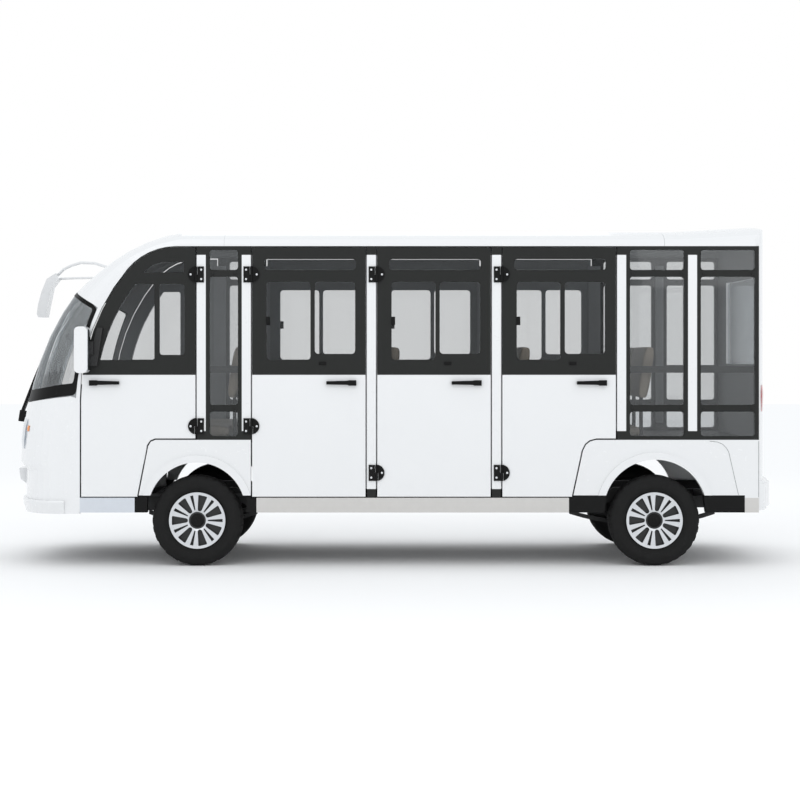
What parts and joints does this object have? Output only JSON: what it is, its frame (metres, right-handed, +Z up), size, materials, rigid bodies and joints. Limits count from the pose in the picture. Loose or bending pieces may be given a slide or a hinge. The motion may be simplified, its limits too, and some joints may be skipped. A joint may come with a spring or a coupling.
{
  "type": "enclosed electric sightseeing cart",
  "caption": "Enclosed electric sightseeing cart with hinged side doors, glazed cabin, rows of seats and a rounded front with a large windscreen, steered by the front wheels.",
  "frame": {"origin": "Middle of the bounding box on the ground plane, tyres standing on Z = 0.", "axes": "+Z up, the front of the cart toward -X, its left side toward -Y."},
  "size_m": [5.374, 1.824, 2.333],
  "materials": {
    "body_white": "gloss",
    "door_white": "gloss",
    "black_trim": "satin",
    "tinted_glass": "clear",
    "chassis_black": "satin",
    "axle_steel": "rough",
    "steel_bright": "satin",
    "tyre_rubber": "matte",
    "alloy": "machined",
    "seat_cover": "satin",
    "floor_cover": "matte",
    "inner_plastic": "satin",
    "sill_grey": "satin",
    "lamp_clear": "gloss",
    "lamp_red": "gloss",
    "battery_case": "satin"
  },
  "bodies": {
    "cart": {"chassis_frame": "chassis_black", "front_axle": "axle_steel", "rear_axle": "axle_steel", "leaf_springs": "chassis_black", "floor_pan": "floor_cover", "seat_boxes": "inner_plastic", "battery_pack": "battery_case", "seat_cushions": "seat_cover", "seat_backs": "seat_cover", "seat_frames": "chassis_black", "front_cowl": "body_white", "windscreen": "tinted_glass", "nose_trim": "body_white", "headlamps": "lamp_clear", "wiper": "black_trim", "dashboard": "inner_plastic", "roof": "body_white", "rear_cap": "body_white", "rear_window": "tinted_glass", "tail_lamps": "lamp_red", "rear_bumper": "body_white", "pillars": "body_white", "pillar_caps": "black_trim", "fixed_frames": "black_trim", "fixed_glass": "tinted_glass", "fenders": "body_white", "sills": "sill_grey", "arch_corners": "black_trim", "hinge_plates": "black_trim", "ear_mirror": "body_white"},
    "knuckle_left": {"knuckle_left": "axle_steel"},
    "knuckle_right": {"knuckle_right": "axle_steel"},
    "tie_rod": {"tie_rod": "steel_bright"},
    "steering_wheel": {"steering_wheel": "black_trim"},
    "wheel_front_left": {"tyre_front_left": "tyre_rubber", "rim_front_left": "alloy"},
    "wheel_front_right": {"tyre_front_right": "tyre_rubber", "rim_front_right": "alloy"},
    "wheel_rear_left": {"tyre_rear_left": "tyre_rubber", "rim_rear_left": "alloy"},
    "wheel_rear_right": {"tyre_rear_right": "tyre_rubber", "rim_rear_right": "alloy"},
    "left_front_door": {"left_front_door": "door_white", "left_front_glass": "tinted_glass", "door_mirror": "body_white"},
    "left_door_1": {"left_door_1": "door_white", "left_glass_1": "tinted_glass"},
    "left_door_2": {"left_door_2": "door_white", "left_glass_2": "tinted_glass"},
    "left_door_3": {"left_door_3": "door_white", "left_glass_3": "tinted_glass"},
    "right_front_door": {"right_front_door": "door_white", "right_front_glass": "tinted_glass"},
    "right_door_1": {"right_door_1": "door_white", "right_glass_1": "tinted_glass"},
    "right_door_2": {"right_door_2": "door_white", "right_glass_2": "tinted_glass"},
    "right_door_3": {"right_door_3": "door_white", "right_glass_3": "tinted_glass"}
  },
  "joints": [
    {"name": "steer_left", "type": "hinge", "parent": "cart", "child": "knuckle_left", "pos_m": [-1.288, -0.54, 0.309], "axis": [0, 0, 1], "range_deg": [-30, 30]},
    {"name": "steer_right", "type": "hinge", "parent": "cart", "child": "knuckle_right", "pos_m": [-1.288, 0.54, 0.309], "axis": [0, 0, 1], "range_deg": [-30, 30]},
    {"name": "tie_rod_pin", "type": "hinge", "parent": "knuckle_left", "child": "tie_rod", "pos_m": [-1.138, -0.54, 0.246], "axis": [0, 0, 1], "range_deg": [-30, 30]},
    {"name": "steering_column", "type": "hinge", "parent": "cart", "child": "steering_wheel", "pos_m": [-1.965, -0.335, 1.225], "axis": [0.5736, 0, 0.8192], "range_deg": [-365, 365]},
    {"name": "spin_front_left", "type": "hinge", "parent": "knuckle_left", "child": "wheel_front_left", "pos_m": [-1.288, -0.66, 0.309], "axis": [0, -1, 0], "continuous": true},
    {"name": "spin_front_right", "type": "hinge", "parent": "knuckle_right", "child": "wheel_front_right", "pos_m": [-1.288, 0.66, 0.309], "axis": [0, -1, 0], "continuous": true},
    {"name": "spin_rear_left", "type": "hinge", "parent": "cart", "child": "wheel_rear_left", "pos_m": [1.829, -0.66, 0.309], "axis": [0, -1, 0], "continuous": true},
    {"name": "spin_rear_right", "type": "hinge", "parent": "cart", "child": "wheel_rear_right", "pos_m": [1.829, 0.66, 0.309], "axis": [0, -1, 0], "continuous": true},
    {"name": "left_front_door_hinge", "type": "hinge", "parent": "cart", "child": "left_front_door", "pos_m": [-1.293, -0.769, 1.4], "axis": [0, 0, 1], "range_deg": [0, 75]},
    {"name": "left_door_1_hinge", "type": "hinge", "parent": "cart", "child": "left_door_1", "pos_m": [-0.916, -0.769, 1.4], "axis": [0, 0, -1], "range_deg": [0, 75]},
    {"name": "left_door_2_hinge", "type": "hinge", "parent": "cart", "child": "left_door_2", "pos_m": [-0.065, -0.769, 1.4], "axis": [0, 0, -1], "range_deg": [0, 75]},
    {"name": "left_door_3_hinge", "type": "hinge", "parent": "cart", "child": "left_door_3", "pos_m": [0.786, -0.769, 1.4], "axis": [0, 0, -1], "range_deg": [0, 75]},
    {"name": "right_front_door_hinge", "type": "hinge", "parent": "cart", "child": "right_front_door", "pos_m": [-1.293, 0.769, 1.4], "axis": [0, 0, -1], "range_deg": [0, 75]},
    {"name": "right_door_1_hinge", "type": "hinge", "parent": "cart", "child": "right_door_1", "pos_m": [-0.916, 0.769, 1.4], "axis": [0, 0, 1], "range_deg": [0, 75]},
    {"name": "right_door_2_hinge", "type": "hinge", "parent": "cart", "child": "right_door_2", "pos_m": [-0.065, 0.769, 1.4], "axis": [0, 0, 1], "range_deg": [0, 75]},
    {"name": "right_door_3_hinge", "type": "hinge", "parent": "cart", "child": "right_door_3", "pos_m": [0.786, 0.769, 1.4], "axis": [0, 0, 1], "range_deg": [0, 75]}
  ],
  "couplings": [
    {"joint": "steer_right", "follows": "steer_left", "ratio": 1},
    {"joint": "tie_rod_pin", "follows": "steer_left", "ratio": -1},
    {"joint": "steering_column", "follows": "steer_left", "ratio": 12}
  ]
}
